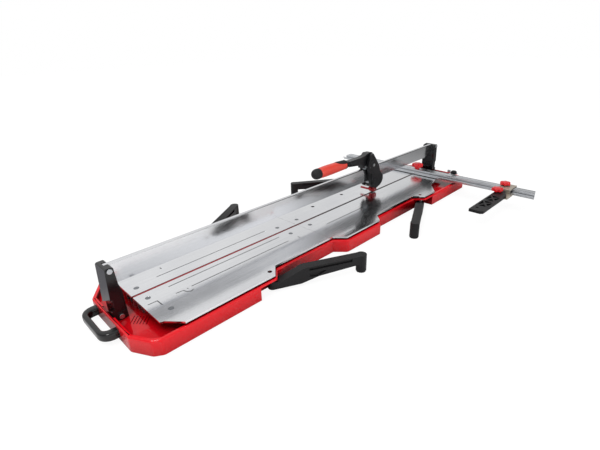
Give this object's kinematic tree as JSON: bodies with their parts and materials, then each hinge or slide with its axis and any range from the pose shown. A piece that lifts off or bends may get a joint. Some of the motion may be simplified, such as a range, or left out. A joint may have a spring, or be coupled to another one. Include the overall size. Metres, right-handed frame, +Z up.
{
  "type": "tile cutter",
  "caption": "Long-bed manual tile cutter with a beam-guided scoring carriage and lever, folding side arms and a swivelling fence with a sliding stop.",
  "frame": {"origin": "middle of the bed's length and width, in the plane of the table that the feet stand on", "axes": "+X along the scoring line towards the fence, +Y across the bed away from the user, +Z up"},
  "size_m": [1.5135, 0.882, 0.219],
  "materials": {
    "red_tray": "glossy powder coat",
    "bed_aluminium": "brushed and polished",
    "beam_aluminium": "polished",
    "fence_aluminium": "satin anodised",
    "rail_steel": "zinc plated",
    "bolt_steel": "zinc plated",
    "dark_steel": "black oxide",
    "ridge_red": "satin paint",
    "black_casting": "satin powder coat",
    "black_plastic": "moulded glass-filled nylon",
    "carriage_black": "moulded glass-filled nylon",
    "soft_black": "moulded soft rubber",
    "grip_red": "soft-touch moulding",
    "knob_red": "glossy moulding",
    "holder_red": "red anodised",
    "carbide": "ground",
    "bracket_metal": "matt cast"
  },
  "bodies": {
    "base": {"base_tray": "red_tray", "rubber_feet": "soft_black", "plate_near_left": "bed_aluminium", "plate_near_right": "bed_aluminium", "plate_far_left": "bed_aluminium", "plate_far_right": "bed_aluminium", "support_rails": "rail_steel", "plate_cushions": "soft_black", "breaker_ridge": "ridge_red", "plate_screws": "dark_steel", "tower_left": "black_casting", "tower_right": "black_casting", "tower_bolts": "bolt_steel", "guide_beam": "beam_aluminium", "carry_handle": "black_plastic", "handle_screws": "bolt_steel", "arm_pivot_pins": "bolt_steel", "fence_pivot_stud": "bolt_steel"},
    "carriage": {"carriage_body": "carriage_black", "roller_axles": "bolt_steel", "lever_pivot_pin": "bolt_steel"},
    "roller_top_left_body": {"roller_top_left": "bolt_steel"},
    "roller_top_right_body": {"roller_top_right": "bolt_steel"},
    "roller_bottom_left_body": {"roller_bottom_left": "bolt_steel"},
    "roller_bottom_right_body": {"roller_bottom_right": "bolt_steel"},
    "lever": {"lever_arm": "carriage_black", "lever_grip": "grip_red", "grip_cap": "soft_black", "thumb_rest": "soft_black"},
    "wheel_slider": {"wheel_holder": "holder_red", "wheel_axle": "bolt_steel"},
    "wheel": {"scoring_wheel": "carbide"},
    "holder_lock": {"lock_lever": "holder_red"},
    "near_left_arm": {"arm_near_left": "black_plastic", "arm_sole_near_left": "soft_black"},
    "near_right_arm": {"arm_near_right": "black_plastic", "arm_sole_near_right": "soft_black"},
    "far_left_arm": {"arm_far_left": "black_plastic", "arm_sole_far_left": "soft_black"},
    "far_right_arm": {"arm_far_right": "black_plastic", "arm_sole_far_right": "soft_black"},
    "fence": {"fence_bar": "fence_aluminium", "fence_scale": "bed_aluminium", "fence_screw": "dark_steel", "clamp_bracket": "fence_aluminium"},
    "pivot_knob": {"fence_knob": "knob_red"},
    "fence_clamp": {"clamp_knob": "black_plastic", "clamp_stud": "bolt_steel"},
    "stop_carrier": {"stop_bracket": "bracket_metal", "stop_studs": "bolt_steel"},
    "stop_arm": {"stop_bar": "black_plastic"},
    "carrier_knob": {"bracket_knob": "knob_red"},
    "stop_arm_knob": {"bar_knob": "knob_red"}
  },
  "joints": [
    {"name": "carriage_travel", "type": "slide", "parent": "base", "child": "carriage", "axis": [1, 0, 0], "range_m": [-0.9, 0.262]},
    {"name": "roller_top_left_spin", "type": "hinge", "parent": "carriage", "child": "roller_top_left_body", "pos_m": [0.236, 0, 0.1653], "axis": [0, 1, 0], "continuous": true},
    {"name": "roller_top_right_spin", "type": "hinge", "parent": "carriage", "child": "roller_top_right_body", "pos_m": [0.2825, 0, 0.1653], "axis": [0, 1, 0], "continuous": true},
    {"name": "roller_bottom_left_spin", "type": "hinge", "parent": "carriage", "child": "roller_bottom_left_body", "pos_m": [0.2485, 0, 0.1047], "axis": [0, 1, 0], "continuous": true},
    {"name": "roller_bottom_right_spin", "type": "hinge", "parent": "carriage", "child": "roller_bottom_right_body", "pos_m": [0.3105, 0, 0.1047], "axis": [0, 1, 0], "continuous": true},
    {"name": "lever_lift", "type": "hinge", "parent": "carriage", "child": "lever", "pos_m": [0.2555, 0, 0.171], "axis": [0, 1, 0], "range_deg": [-2, 60]},
    {"name": "wheel_lift", "type": "slide", "parent": "carriage", "child": "wheel_slider", "axis": [0, 0, 1], "range_m": [-0.0003, 0.009]},
    {"name": "scoring_wheel_spin", "type": "hinge", "parent": "wheel_slider", "child": "wheel", "pos_m": [0.2875, 0, 0.064], "axis": [0, 1, 0], "continuous": true},
    {"name": "holder_lock_turn", "type": "hinge", "parent": "wheel_slider", "child": "holder_lock", "pos_m": [0.275, 0, 0.072], "axis": [1, 0, 0], "range_deg": [-8, 14]},
    {"name": "near_left_arm_swing", "type": "hinge", "parent": "base", "child": "near_left_arm", "pos_m": [-0.3735, -0.161, 0.02], "axis": [0, 0, -1], "range_deg": [-23, 64.5]},
    {"name": "near_right_arm_swing", "type": "hinge", "parent": "base", "child": "near_right_arm", "pos_m": [0.3735, -0.161, 0.02], "axis": [0, 0, 1], "range_deg": [-23, 64.5]},
    {"name": "far_left_arm_swing", "type": "hinge", "parent": "base", "child": "far_left_arm", "pos_m": [-0.3735, 0.161, 0.02], "axis": [0, 0, 1], "range_deg": [-29.5, 58]},
    {"name": "far_right_arm_swing", "type": "hinge", "parent": "base", "child": "far_right_arm", "pos_m": [0.3735, 0.161, 0.02], "axis": [0, 0, -1], "range_deg": [-32.5, 55]},
    {"name": "fence_swivel", "type": "hinge", "parent": "base", "child": "fence", "pos_m": [0.6175, 0, 0.062], "axis": [0, 0, 1], "range_deg": [-45, 45]},
    {"name": "pivot_knob_turn", "type": "hinge", "parent": "base", "child": "pivot_knob", "pos_m": [0.6175, 0, 0.085], "axis": [0, 0, 1], "continuous": true},
    {"name": "fence_clamp_turn", "type": "hinge", "parent": "fence", "child": "fence_clamp", "pos_m": [0.65, -0.152, 0.075], "axis": [0, 0, 1], "continuous": true},
    {"name": "stop_travel", "type": "slide", "parent": "fence", "child": "stop_carrier", "axis": [0, 1, 0], "range_m": [-0.075, 0.16]},
    {"name": "stop_arm_fold", "type": "hinge", "parent": "stop_carrier", "child": "stop_arm", "pos_m": [0.553, -0.367, 0.062], "axis": [0, 0, 1], "range_deg": [-90, 0]},
    {"name": "carrier_knob_turn", "type": "hinge", "parent": "stop_carrier", "child": "carrier_knob", "pos_m": [0.627, -0.367, 0.08], "axis": [0, 0, 1], "continuous": true},
    {"name": "stop_arm_knob_turn", "type": "hinge", "parent": "stop_carrier", "child": "stop_arm_knob", "pos_m": [0.553, -0.367, 0.076], "axis": [0, 0, 1], "continuous": true}
  ],
  "couplings": [
    {"joint": "roller_top_left_spin", "follows": "carriage_travel", "rad_per_m": 222.22},
    {"joint": "roller_top_right_spin", "follows": "carriage_travel", "rad_per_m": 222.22},
    {"joint": "roller_bottom_left_spin", "follows": "carriage_travel", "rad_per_m": -222.22},
    {"joint": "roller_bottom_right_spin", "follows": "carriage_travel", "rad_per_m": -222.22},
    {"joint": "wheel_lift", "follows": "lever_lift", "m_per_rad": 0.008594}
  ]
}
